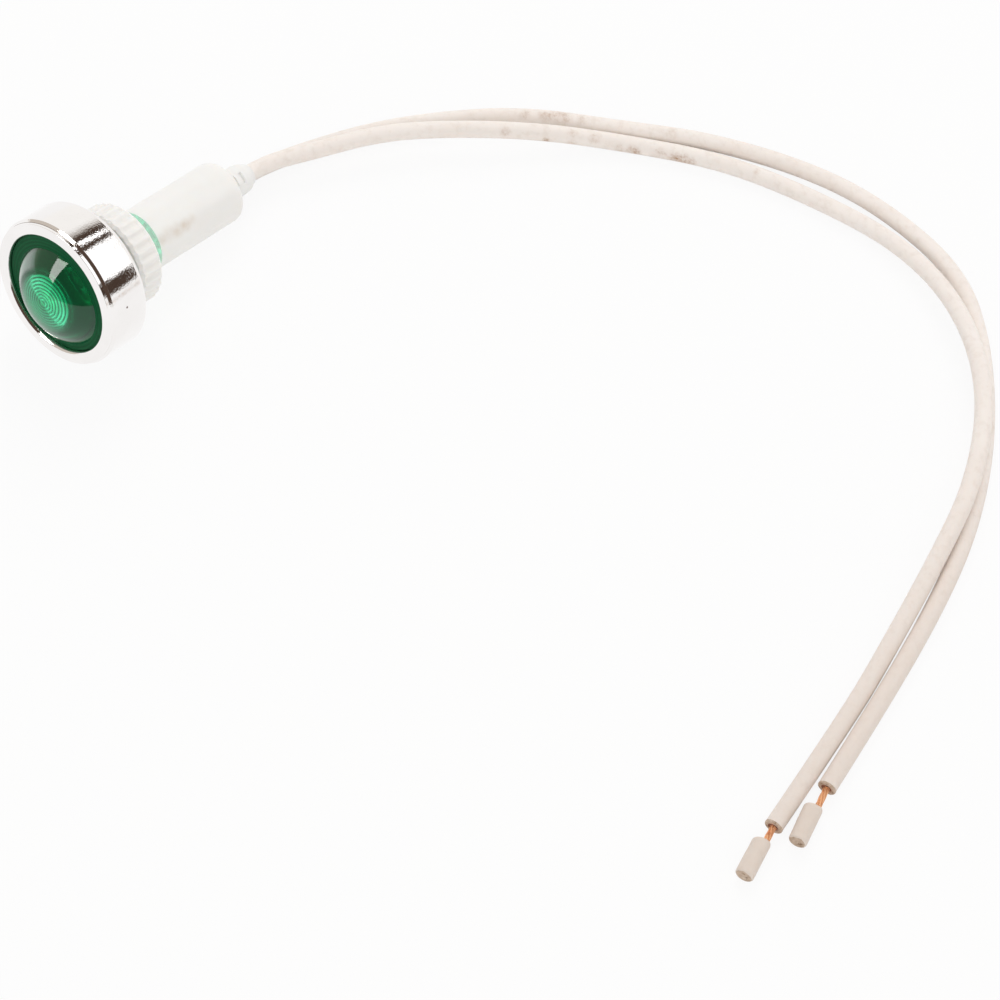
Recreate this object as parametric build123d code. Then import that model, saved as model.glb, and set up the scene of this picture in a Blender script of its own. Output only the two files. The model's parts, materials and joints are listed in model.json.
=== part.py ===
"""Panel pilot light: chromed bezel, green lens with a threaded barrel, knurled nut,
white tail body and two stripped leads, lying on a table as it comes to rest.

Everything on the head is first drawn round the Z axis, with the bezel's rear face at Z = 0,
the lens towards -Z and the leads towards +Z. It is then laid down: the lens faces -Y, the
tail slopes to the table, and the origin is on the table, at the middle of the head's box.
"""
from build123d import *
from math import asin, atan2, cos, degrees, hypot, pi, radians, sin, tan
import os

# Bezel, a deep cup
BEZEL_R = 8.75
BEZEL_DEPTH = 5.0            # rear face to where the side wall ends
BEZEL_REAR_FILLET = 0.7
BEZEL_FLOOR = 1.0
LIP_STEP = 0.27              # small step between the side wall and the rounded front ring
LIP_RISE = 0.55              # how far the front ring bulges past the step
RIM_W = 1.65                 # front ring, from the outside to the opening that frames the lens
LEDGE_W = 0.8                # ledge that carries the lens flange
LEDGE_DEPTH = 4.25           # ledge, measured from the rear face

# Lens, flange, skirt and barrel, one moulding
LENS_GAP = 0.03              # radial play of the lens in the bezel
FLANGE_T = 0.9
FLANGE_W = 1.17              # flat ring round the dome
DOME_RISE = 2.8
DOME_WALL = 1.0
SKIRT_WALL = 0.8
LENS_FLOOR = 0.9
RING_COUNT = 8               # concentric light-bending rings inside the dome
RING_PITCH = 0.45
RING_HEIGHT = 0.16
RING_START = 0.3
BARREL_R = 3.65
BARREL_WALL = 0.85
BARREL_END = 7.4

# Knurled nut
NUT_R = 6.0
NUT_T = 3.2
NUT_PLAY = 0.15              # radial gap between the nut and the barrel it runs on
NUT_FLUTES = 30
FLUTE_R = 0.34
FLUTE_DEPTH = 0.2
NUT_CHAMFER = 0.35
PANEL_SPACE = 2.1            # open space for the panel between bezel and nut

# Tail body
BODY_R = 3.69
BODY_WALL = 0.9
BODY_END = 21.1
BODY_FILLET = 0.9
BODY_FLOOR = 1.4
SPIGOT_L = 2.4               # plug of the body inside the barrel
SPIGOT_PLAY = 0.05
SPIGOT_WALL = 0.5

# Neck, an oval strain relief moulded on the body
NECK_W = 5.4
NECK_T = 3.6
NECK_STRAIGHT = 2.3
NECK_END_W = 4.5
NECK_END_T = 2.6
NECK_TAPER = 1.2
SLIT_L = 1.2
SLIT_W = 0.3
SLIT_DEPTH = 0.3
SLIT_PITCH = 1.1
SLIT_START = 0.15
LEAD_TURN = 54.1             # degrees round the axis from +X to the pair of leads

# Leads
LEAD_D = 2.0
LEAD_SPACING = 2.1
STRANDS_D = 0.8
BARE_A = 1.8                 # bare copper that shows on lead A
BARE_B = 2.4                 # and on lead B
SLUG_L = 4.7                 # insulation left on the strands' end
SLUG_SHIFT = 0.35            # how far a slug sits off its strands, to the side
STRANDS_TURN = 6.0           # degrees that the bare strands turn from the lead, on the table
LEAD_ROOT_L = 4.4            # part of each lead inside the tail body, before the neck
EXIT_RUN = 3.0               # straight out of the neck

# Lamp and its wiring
LAMP_R = 2.0
LAMP_FRONT = -3.6
LAMP_L = 9.4
PINCH_L = 1.2
PINCH_T = 1.6
WIRE_D = 0.45
WIRE_SPREAD = 0.7            # lamp wires, from the axis
RESISTOR_R = 0.85
RESISTOR_L = 4.0
RESISTOR_WAIST = 0.12
RESISTOR_CAP = 0.9
CRIMP_R = 0.72
CRIMP_L = 3.2
CRIMP_DENT = 0.18
SLEEVE_PLAY = 0.04
SLEEVE_WALL = 0.22
SLEEVE_OVERHANG = 0.8
RESISTOR_GAP = 1.1           # wire between the resistor and its crimp

# Routes of the leads on the table, in the finished frame, after each lead's first run
ROUTE_A = [
    (3.5, 23.2, 2.95), (8.0, 30.7, 3.1), (14.0, 36.7, 3.0), (21.5, 43.2, 2.4), (29.2, 49.0, 1.0),
    (39.5, 54.2, 1.0), (50.5, 56.7, 1.0), (62.5, 57.7, 1.2), (73.5, 53.7, 2.9), (82.5, 46.2, 3.3),
    (88.5, 35.7, 3.1), (91.2, 24.9, 2.2), (93.6, 12.8, 1.1), (95.1, 4.8, 1.0), (97.1, -10.5, 1.0),
]
ROUTE_B = [
    (1.5, 23.7, 1.0), (5.5, 31.2, 1.0), (10.5, 37.7, 1.0), (17.5, 44.7, 1.0), (28.0, 50.7, 1.0),
    (36.5, 55.7, 1.0), (48.0, 59.7, 1.0), (58.0, 60.7, 1.0), (70.0, 58.7, 1.0), (78.5, 51.7, 1.0),
    (86.0, 41.7, 1.0), (91.0, 31.7, 1.0), (94.0, 21.7, 1.0), (96.5, 9.2, 1.0), (98.5, -3.5, 1.0),
]
MAX_ARC_SHARE = 0.45         # share of the shorter run that a corner's arc may take

# Radii worked out from the sizes above
LENS_BORE_R = BEZEL_R - RIM_W
LEDGE_R = LENS_BORE_R - LEDGE_W
LENS_R = LENS_BORE_R - LENS_GAP
DOME_BASE_R = LENS_R - FLANGE_W

# Places worked out from the sizes above, along the axis
NUT_FRONT = PANEL_SPACE
BARREL_BORE_R = BARREL_R - BARREL_WALL
BODY_BORE_R = BODY_R - BODY_WALL
FLANGE_FRONT = -(LEDGE_DEPTH + FLANGE_T)
NECK_END = BODY_END + NECK_STRAIGHT + NECK_TAPER
LEAD_R = LEAD_D / 2
LEAD_OFFSET = LEAD_SPACING / 2
ROOT_START = BODY_END - LEAD_ROOT_L
CRIMP_FRONT = ROOT_START - CRIMP_L
RESISTOR_REAR = CRIMP_FRONT - RESISTOR_GAP
RESISTOR_FRONT = RESISTOR_REAR - RESISTOR_L
LAMP_REAR = LAMP_FRONT + LAMP_L


def turned(outline: Face) -> Part:
    """Turn an outline drawn in the XZ plane, at X >= 0, round the Z axis."""
    return revolve(outline, Axis.Z)


def rod(radius: float, start: float, end: float, offset: float = 0.0) -> Part:
    """Round bar along the axis, shifted along the line of the two leads."""
    return Pos(offset * PAIR_X, offset * PAIR_Y, start) * Cylinder(
        radius, end - start, align=(Align.CENTER, Align.CENTER, Align.MIN)
    )


def tube(outer: float, inner: float, start: float, end: float, offset: float = 0.0) -> Part:
    """Round tube along the axis."""
    return rod(outer, start, end, offset) - rod(inner, start, end, offset)


# Direction from the axis to lead A, across the axis: local +Y points down when laid on the table
PAIR_X = cos(radians(LEAD_TURN))
PAIR_Y = -sin(radians(LEAD_TURN))


def make_bezel() -> Part:
    """Cup with a floor, a ledge for the lens and a rounded front ring."""
    step = -BEZEL_DEPTH - LIP_STEP
    crest = ((BEZEL_R - LIP_STEP + LENS_BORE_R) / 2, step - LIP_RISE)
    with BuildSketch(Plane.XZ) as outline:
        with BuildLine():
            Polyline(
                (LENS_BORE_R, step), (LENS_BORE_R, -LEDGE_DEPTH), (LEDGE_R, -LEDGE_DEPTH),
                (LEDGE_R, -BEZEL_FLOOR), (BARREL_R + LENS_GAP, -BEZEL_FLOOR),
                (BARREL_R + LENS_GAP, 0), (BEZEL_R, 0), (BEZEL_R, -BEZEL_DEPTH),
                (BEZEL_R - LIP_STEP, step),
            )
            ThreePointArc((BEZEL_R - LIP_STEP, step), crest, (LENS_BORE_R, step))
        make_face()
        fillet(outline.vertices().sort_by_distance((BEZEL_R, 0))[:1], BEZEL_REAR_FILLET)
    return turned(outline.sketch)


def dome_radius(base: float, rise: float) -> float:
    """Radius of the ball that a dome is cut from."""
    return (base**2 + rise**2) / (2 * rise)


def make_lens() -> Part:
    """Dome, flange, skirt, floor and barrel, hollow from the barrel's end to the dome."""
    skirt_r = LEDGE_R - LENS_GAP
    inner_r = skirt_r - SKIRT_WALL
    apex = FLANGE_FRONT - DOME_RISE
    floor_rear = -BEZEL_FLOOR
    ball = dome_radius(DOME_BASE_R, DOME_RISE)
    half = asin(DOME_BASE_R / ball) / 2
    on_dome = (ball * sin(half), apex + ball * (1 - cos(half)))
    inner_ball = ball - DOME_WALL
    inner_apex = apex + DOME_WALL
    inner_base = inner_apex + inner_ball - (inner_ball**2 - inner_r**2) ** 0.5
    half = asin(inner_r / inner_ball) / 2
    in_dome = (inner_ball * sin(half), inner_apex + inner_ball * (1 - cos(half)))
    with BuildSketch(Plane.XZ) as outline:
        with BuildLine():
            ThreePointArc((0, apex), on_dome, (DOME_BASE_R, FLANGE_FRONT))
            Polyline(
                (DOME_BASE_R, FLANGE_FRONT), (LENS_R, FLANGE_FRONT),
                (LENS_R, -LEDGE_DEPTH), (skirt_r, -LEDGE_DEPTH),
                (skirt_r, floor_rear), (BARREL_R, floor_rear), (BARREL_R, BARREL_END),
                (BARREL_BORE_R, BARREL_END), (BARREL_BORE_R, floor_rear - LENS_FLOOR),
                (inner_r, floor_rear - LENS_FLOOR), (inner_r, inner_base),
            )
            ThreePointArc((inner_r, inner_base), in_dome, (0, inner_apex))
            Line((0, inner_apex), (0, apex))
        make_face()
    lens = turned(outline.sketch)
    for index in range(RING_COUNT):
        lens += make_ring(RING_START + index * RING_PITCH, inner_ball, inner_apex)
    return lens


def make_ring(radius: float, ball: float, apex: float) -> Part:
    """One saw-toothed ring on the dome's inner face: steep inside, sloping outside."""
    reach = radius + RING_PITCH * 0.8
    root = apex + ball - (ball**2 - radius**2) ** 0.5
    foot = apex + ball - (ball**2 - reach**2) ** 0.5
    sunk = DOME_WALL / 4
    with BuildSketch(Plane.XZ) as outline:
        with BuildLine():
            Polyline((radius, root - sunk), (radius, root + RING_HEIGHT), (reach, foot),
                     (reach, foot - sunk), close=True)
        make_face()
    return turned(outline.sketch)


def make_nut() -> Part:
    """Ring with flutes for the fingers, chamfered at both ends."""
    rear = NUT_FRONT + NUT_T
    bore = max(BARREL_R, BODY_R) + NUT_PLAY
    with BuildSketch(Plane.XZ) as outline:
        with BuildLine():
            Polyline(
                (bore, NUT_FRONT), (NUT_R - NUT_CHAMFER, NUT_FRONT), (NUT_R, NUT_FRONT + NUT_CHAMFER),
                (NUT_R, rear - NUT_CHAMFER), (NUT_R - NUT_CHAMFER, rear), (bore, rear), close=True,
            )
        make_face()
    nut = turned(outline.sketch)
    flute_at = NUT_R + FLUTE_R - FLUTE_DEPTH
    flutes = [
        Rot(0, 0, index * 360 / NUT_FLUTES) * Pos(flute_at, 0, NUT_FRONT)
        * Cylinder(FLUTE_R, NUT_T, align=(Align.CENTER, Align.CENTER, Align.MIN))
        for index in range(NUT_FLUTES)
    ]
    return nut - flutes


def oval(width: float, thickness: float, place: float) -> Sketch:
    """Oval across the axis, with its long side along the pair of leads."""
    return Pos(0, 0, place) * Rot(0, 0, -LEAD_TURN) * SlotOverall(width, thickness)


def make_body() -> Part:
    """Tail body: plug, tubular wall, rounded shoulder and the oval neck with its slits."""
    plug_r = BARREL_BORE_R - SPIGOT_PLAY
    plug_bore = plug_r - SPIGOT_WALL
    with BuildSketch(Plane.XZ) as outline:
        with BuildLine():
            Polyline(
                (plug_bore, BARREL_END - SPIGOT_L), (plug_r, BARREL_END - SPIGOT_L),
                (plug_r, BARREL_END), (BODY_R, BARREL_END), (BODY_R, BODY_END), (0, BODY_END),
                (0, BODY_END - BODY_FLOOR), (BODY_BORE_R, BODY_END - BODY_FLOOR),
                (BODY_BORE_R, BARREL_END + BODY_WALL), (plug_bore, BARREL_END + BODY_WALL),
                close=True,
            )
        make_face()
        fillet(outline.vertices().sort_by_distance((BODY_R, BODY_END))[:1], BODY_FILLET)
    body = turned(outline.sketch)
    sunk = BODY_FLOOR / 2
    straight_end = BODY_END + NECK_STRAIGHT
    body += extrude(oval(NECK_W, NECK_T, BODY_END - sunk), NECK_STRAIGHT + sunk)
    body += loft([oval(NECK_W, NECK_T, straight_end), oval(NECK_END_W, NECK_END_T, NECK_END)])
    for offset in (LEAD_OFFSET, -LEAD_OFFSET):
        body -= rod(LEAD_R, BODY_END - BODY_FLOOR, NECK_END, offset)
    reach = NECK_W / 2 - SLIT_DEPTH / 2
    for index in range(2):
        place = BODY_END + SLIT_START + index * SLIT_PITCH
        for side in (reach, -reach):
            body -= Pos(side * PAIR_X, side * PAIR_Y, place) * Rot(0, 0, -LEAD_TURN) * Box(
                SLIT_DEPTH, SLIT_L, SLIT_W, align=(Align.CENTER, Align.CENTER, Align.MIN)
            )
    return body


def make_lamp() -> Part:
    """Sealed glass lamp: round-nosed tube with a flattened pinch at the rear."""
    shoulder = LAMP_REAR - PINCH_L
    tube_end = shoulder - LAMP_R / 2
    with BuildSketch(Plane.XZ) as outline:
        with BuildLine():
            nose = LAMP_FRONT + LAMP_R
            ThreePointArc((0, LAMP_FRONT), (LAMP_R * sin(pi / 4), nose - LAMP_R * cos(pi / 4)),
                          (LAMP_R, nose))
            Polyline((LAMP_R, nose), (LAMP_R, tube_end), (PINCH_T / 2, shoulder), (0, shoulder),
                     (0, LAMP_FRONT))
        make_face()
    pinch = Pos(0, 0, shoulder) * Rot(0, 0, -LEAD_TURN) * Box(
        2 * WIRE_SPREAD + 2 * WIRE_D, PINCH_T / 2, PINCH_L,
        align=(Align.CENTER, Align.CENTER, Align.MIN),
    )
    return turned(outline.sketch) + pinch


def make_wire(start_offset: float, end_offset: float, end: float) -> Part:
    """Lamp wire: out of the pinch, one jog sideways, then along the axis."""
    jog = LAMP_REAR + 0.35 * (RESISTOR_FRONT - LAMP_REAR)
    places = [(start_offset, LAMP_REAR), (start_offset, jog), (end_offset, jog + 0.5),
              (end_offset, end)]
    points = [(offset * PAIR_X, offset * PAIR_Y, place) for offset, place in places]
    path = FilletPolyline(*points, radius=WIRE_D / 2)
    return sweep(Plane(path @ 0, z_dir=path % 0) * Circle(WIRE_D / 2), path)


def make_resistor() -> Part:
    """Resistor with a fatter cap at each end."""
    start, end = RESISTOR_FRONT, RESISTOR_REAR
    resistor = rod(RESISTOR_R - RESISTOR_WAIST, start, end, LEAD_OFFSET)
    resistor += rod(RESISTOR_R, start, start + RESISTOR_CAP, LEAD_OFFSET)
    return resistor + rod(RESISTOR_R, end - RESISTOR_CAP, end, LEAD_OFFSET)


def make_crimp(offset: float) -> Part:
    """Crimped splice barrel, dented on both sides."""
    crimp = rod(CRIMP_R, CRIMP_FRONT, ROOT_START, offset)
    middle = (CRIMP_FRONT + ROOT_START) / 2
    for side in (1, -1):
        reach = side * (CRIMP_R - CRIMP_DENT / 2)
        crimp -= Pos(offset * PAIR_X, offset * PAIR_Y, middle) * Rot(0, 0, -LEAD_TURN) * Pos(
            0, reach, 0) * Box(CRIMP_R, CRIMP_DENT, CRIMP_L / 3)
    return crimp


def make_head() -> dict[str, Part]:
    """Every piece of the head, still round the Z axis."""
    sleeve_bore = CRIMP_R + SLEEVE_PLAY
    sleeve_front = CRIMP_FRONT - SLEEVE_OVERHANG
    pieces = {
        "bezel": make_bezel(),
        "lens_and_barrel": make_lens(),
        "knurled_nut": make_nut(),
        "tail_body": make_body(),
        "lamp": make_lamp(),
        "resistor": make_resistor(),
        "lamp_wire_a": make_wire(WIRE_SPREAD, LEAD_OFFSET, RESISTOR_FRONT),
        "lamp_wire_b": make_wire(-WIRE_SPREAD, -LEAD_OFFSET, CRIMP_FRONT),
        "resistor_wire": rod(WIRE_D / 2, RESISTOR_REAR, CRIMP_FRONT, LEAD_OFFSET),
    }
    for letter, offset in (("a", LEAD_OFFSET), ("b", -LEAD_OFFSET)):
        pieces[f"crimp_{letter}"] = make_crimp(offset)
        pieces[f"sleeve_{letter}"] = tube(
            sleeve_bore + SLEEVE_WALL, sleeve_bore, sleeve_front, ROOT_START, offset)
        pieces[f"lead_root_{letter}"] = rod(LEAD_R, ROOT_START, NECK_END, offset)
    return pieces


def resting_tilt() -> float:
    """Slope of the axis, in radians, when bezel and tail body both touch the table."""
    run = (BODY_END - BODY_FILLET) + BEZEL_REAR_FILLET
    drop = (BEZEL_R - BEZEL_REAR_FILLET) - (BODY_R - BODY_FILLET)
    return atan2(drop, run) - asin((BODY_FILLET - BEZEL_REAR_FILLET) / hypot(run, drop))


def laid(pieces: dict[str, Part], place: Location) -> dict[str, Part]:
    """Put every piece of the head in its resting place."""
    return {name: place * piece for name, piece in pieces.items()}


def lead_points(offset: float, place: Location, route: list) -> list[Vector]:
    """Route of a lead: out of the neck along the axis, then the points on the table."""
    across = (offset * PAIR_X, offset * PAIR_Y)
    start = (place * Pos(*across, NECK_END)).position
    straight = (place * Pos(*across, NECK_END + EXIT_RUN)).position
    return [start, straight] + [Vector(*point) for point in route]


def make_lead(name: str, points: list[Vector]) -> Part:
    """Plain tube along straight runs joined by arcs as large as the runs allow."""
    radii = []
    for before, at, after in zip(points, points[1:], points[2:]):
        turn = radians((at - before).get_angle(after - at))
        shorter = min((at - before).length, (after - at).length)
        radii.append(MAX_ARC_SHARE * shorter / tan(turn / 2))
    path = FilletPolyline(*points, radius=radii)
    lead = sweep(Plane(path @ 0, z_dir=path % 0) * Circle(LEAD_R), path)
    print(f"{name}: length {path.length:.1f} mm, radii", [round(radius, 1) for radius in radii])
    return lead


def make_end(points: list[Vector], bare: float) -> tuple[Part, Part]:
    """Bare twisted strands past the insulation's end, and the slug of insulation left on them."""
    end = points[-1]
    along = (end - points[-2]).normalized().rotate(Axis.Z, STRANDS_TURN)
    clear = STRANDS_D / 2 * sin(radians(STRANDS_TURN))
    face = Plane(end + along * clear, x_dir=along.cross(Vector(0, 0, 1)), z_dir=along)
    strands = extrude(face * Circle(STRANDS_D / 2), bare + SLUG_L)
    ring = Pos(SLUG_SHIFT, 0) * Circle(LEAD_R) - Circle(STRANDS_D / 2)
    slug = extrude(face.offset(bare) * ring, SLUG_L)
    return strands, slug


def main() -> None:
    """Build every piece and write it to its own STEP file."""
    tilt = resting_tilt()
    height = BEZEL_REAR_FILLET * (1 - sin(tilt)) + (BEZEL_R - BEZEL_REAR_FILLET) * cos(tilt)
    lying = Pos(0, 0, height) * Rot(-90 - degrees(tilt), 0, 0)
    head = make_head()
    box = Compound(children=list(laid(head, lying).values())).bounding_box()
    place = Pos(0, -(box.min.Y + box.max.Y) / 2, 0) * lying
    pieces = laid(head, place)
    print(f"tilt {degrees(tilt):.2f} deg, bezel centre", place.position, "box", box.min, box.max)
    ends = (("a", LEAD_OFFSET, ROUTE_A, BARE_A), ("b", -LEAD_OFFSET, ROUTE_B, BARE_B))
    for letter, offset, route, bare in ends:
        points = lead_points(offset, place, route)
        pieces[f"lead_{letter}"] = make_lead(f"lead_{letter}", points)
        pieces[f"strands_{letter}"], pieces[f"slug_{letter}"] = make_end(points, bare)
    os.makedirs("parts", exist_ok=True)
    for name, piece in pieces.items():
        export_step(piece, f"parts/{name}.step")


main()
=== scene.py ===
"""Dressed panel pilot light: chromed bezel, green lens, fluted nut, tail body and two leads.

Lengths in the classes are millimetres, as on a maker's drawing, and become metres when a mesh
is written. A head piece is drawn in the head's own frame, turned round Z with the bezel's rear
face at Z = 0 and the lens towards -Z, and HeadPlace lays it on the table.
"""
from __future__ import annotations

import json
import logging
import math
from dataclasses import dataclass, field
from enum import Enum
from typing import Any, Callable, Sequence

import bmesh
import bpy
import numpy as np
from mathutils import Euler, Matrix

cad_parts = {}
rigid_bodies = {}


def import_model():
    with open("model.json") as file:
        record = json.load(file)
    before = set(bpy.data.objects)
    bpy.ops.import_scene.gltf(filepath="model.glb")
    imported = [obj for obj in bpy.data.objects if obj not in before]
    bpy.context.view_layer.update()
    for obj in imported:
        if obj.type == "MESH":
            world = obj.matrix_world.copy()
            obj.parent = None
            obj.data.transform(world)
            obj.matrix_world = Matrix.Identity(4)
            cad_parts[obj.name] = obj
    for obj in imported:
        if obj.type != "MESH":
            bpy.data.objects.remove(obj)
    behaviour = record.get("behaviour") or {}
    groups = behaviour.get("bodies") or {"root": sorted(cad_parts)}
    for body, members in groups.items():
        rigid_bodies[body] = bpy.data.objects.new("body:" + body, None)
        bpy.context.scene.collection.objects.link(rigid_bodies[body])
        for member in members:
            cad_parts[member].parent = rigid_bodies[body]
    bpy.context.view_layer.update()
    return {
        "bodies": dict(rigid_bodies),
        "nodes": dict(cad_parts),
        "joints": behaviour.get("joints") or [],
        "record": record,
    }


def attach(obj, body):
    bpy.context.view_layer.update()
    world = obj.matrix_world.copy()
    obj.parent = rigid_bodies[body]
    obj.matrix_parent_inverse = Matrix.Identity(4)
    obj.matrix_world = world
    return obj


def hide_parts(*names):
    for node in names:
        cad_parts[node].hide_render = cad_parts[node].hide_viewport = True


Array = np.ndarray
Colour = tuple[float, float, float, float]
Point = tuple[float, float, float]
MM = 0.001
log = logging.getLogger("pilot_light")


def srgb(red: float, green: float, blue: float) -> Colour:
    """Linear colour of a screen colour.

    Args:
        red: red from 0 to 255.
        green: green from 0 to 255.
        blue: blue from 0 to 255.

    Returns:
        The colour as a socket takes it, with full alpha.
    """
    parts = [channel / 255 for channel in (red, green, blue)]
    linear = [part / 12.92 if part <= 0.04045 else ((part + 0.055) / 1.055) ** 2.4
              for part in parts]
    return linear[0], linear[1], linear[2], 1.0


class Rider(Enum):
    """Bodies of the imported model."""

    LIGHT = "light"
    NUT = "nut"


class Slot(Enum):
    """Material slots of the record."""

    CHROME = "chrome"
    LENS = "green_lens"
    NYLON = "white_nylon"
    GLASS = "lamp_glass"
    WIRE = "tinned_wire"
    COAT = "resistor_coat"
    BRASS = "crimp_brass"
    SLEEVE = "sleeving"
    JACKET = "lead_jacket"
    COPPER = "copper"


@dataclass(frozen=True)
class HeadPlace:
    """Where the head lies: its axis slopes to the table from the lens to the leads."""

    centre: Point = (0.0, -8.22829, 8.35992)
    axis: Point = (0.0, 0.971982, -0.235054)
    lead_turn: float = math.radians(54.1)

    def put(self, points: Array) -> Array:
        """Lay points of the head's frame in the row frame.

        Args:
            points: array whose last axis holds x, y and z in millimetres.

        Returns:
            The same array in the row frame, still in millimetres: x stays across, z runs
            along the axis, and y is the axis turned a quarter down.
        """
        _, run, rise = self.axis
        frame = np.array([[1.0, 0.0, 0.0], [0.0, rise, -run], [0.0, run, rise]])
        return points @ frame + np.array(self.centre)


HEAD = HeadPlace()


class Sock:
    """A node's output that takes part in sums as a number does."""

    def __init__(self, paint: "Paint", socket: bpy.types.NodeSocket) -> None:
        """Keep the output and the paint it belongs to."""
        self.paint = paint
        self.socket = socket

    def _sum(self, operation: str, *values: Any) -> "Sock":
        """Math node of one operation on the values."""
        return self.paint.maths(operation, *values)

    def __add__(self, other: Any) -> "Sock":
        """Sum."""
        return self._sum("ADD", self, other)

    def __radd__(self, other: Any) -> "Sock":
        """Sum with a number first."""
        return self._sum("ADD", other, self)

    def __sub__(self, other: Any) -> "Sock":
        """Difference."""
        return self._sum("SUBTRACT", self, other)

    def __rsub__(self, other: Any) -> "Sock":
        """Difference with a number first."""
        return self._sum("SUBTRACT", other, self)

    def __mul__(self, other: Any) -> "Sock":
        """Product."""
        return self._sum("MULTIPLY", self, other)

    def __rmul__(self, other: Any) -> "Sock":
        """Product with a number first."""
        return self._sum("MULTIPLY", other, self)

    def __truediv__(self, other: Any) -> "Sock":
        """Quotient."""
        return self._sum("DIVIDE", self, other)

    def __abs__(self) -> "Sock":
        """Size without its sign."""
        return self._sum("ABSOLUTE", self)

    def above(self, low: float, high: float) -> "Sock":
        """Smooth step between two values.

        Args:
            low: value up to which the step is 0.
            high: value from which it is 1.

        Returns:
            The step.
        """
        node = self.paint.node(
            "ShaderNodeMapRange", {"interpolation_type": "SMOOTHSTEP"},
            {"Value": self, "From Min": low, "From Max": high})
        return self.paint.out(node, "Result")

    def within(self, low: float, high: float, soft: float) -> "Sock":
        """Smooth band: 1 from low to high, 0 a soft margin outside."""
        return self.above(low - soft, low + soft) * (1 - self.above(high - soft, high + soft))


class Paint:
    """Node tree of one finish, built with expressions on its sockets."""

    def __init__(self, tree: bpy.types.NodeTree) -> None:
        """Start from an empty tree."""
        self.tree = tree
        tree.nodes.clear()

    def node(self, kind: str, settings: dict[str, Any] | None = None,
             values: dict[Any, Any] | None = None) -> bpy.types.Node:
        """Make a node, set it, then give its sockets their values or links.

        Args:
            kind: type of the node.
            settings: the node's own settings; "stops" are a colour ramp's stops.
            values: number, colour or Sock for each socket, by name or number.

        Returns:
            The node.
        """
        node = self.tree.nodes.new(kind)
        for key, value in (settings or {}).items():
            if key == "stops":
                ramp = node.color_ramp
                while len(ramp.elements) < len(value):
                    ramp.elements.new(1.0)
                for element, (place, colour) in zip(ramp.elements, value):
                    element.position = place
                    element.color = colour
            else:
                setattr(node, key, value)
        for key, value in (values or {}).items():
            if isinstance(value, Sock):
                self.tree.links.new(value.socket, node.inputs[key])
            else:
                node.inputs[key].default_value = value
        return node

    def out(self, node: bpy.types.Node, name: Any = 0) -> Sock:
        """One output of a node."""
        return Sock(self, node.outputs[name])

    def maths(self, operation: str, *values: Any) -> Sock:
        """Math node on numbers and sockets."""
        return self.out(self.node("ShaderNodeMath", {"operation": operation},
                                  dict(enumerate(values))))

    def mix(self, share: Any, first: Any, second: Any) -> Sock:
        """Colour between first and second by a share from 0 to 1."""
        node = self.node("ShaderNodeMix", {"data_type": "RGBA"}, {0: share, 6: first, 7: second})
        return self.out(node, 2)

    def vector(self, operation: str, *values: Any) -> bpy.types.Node:
        """Vector Math node on vectors."""
        return self.node("ShaderNodeVectorMath", {"operation": operation},
                         dict(enumerate(values)))

    def dot(self, vector: Sock, direction: Sequence[float]) -> Sock:
        """Length of a vector along a direction."""
        return self.out(self.vector("DOT_PRODUCT", vector, tuple(direction)), "Value")

    def far(self, vector: Sock, point: Sequence[float]) -> Sock:
        """Distance of a place from a point."""
        return self.out(self.vector("DISTANCE", vector, tuple(point)), "Value")

    def noise(self, place: Sock, size: float, detail: float = 2.0, rough: float = 0.5) -> Sock:
        """Noise whose lumps are about that size, in metres.

        Args:
            place: coordinates in metres.
            size: width of a lump.
            detail: octaves of finer noise.
            rough: strength of each octave against the one before.

        Returns:
            The noise, round 0.5.
        """
        node = self.node("ShaderNodeTexNoise", {},
                         {"Vector": place, "Scale": 1 / size, "Detail": detail,
                          "Roughness": rough})
        return self.out(node, "Fac")


@dataclass(frozen=True)
class Speck:
    """A dirty place: where it is, how far it reaches, and how dark it is."""

    place: Point
    reach: float
    amount: float


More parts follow.
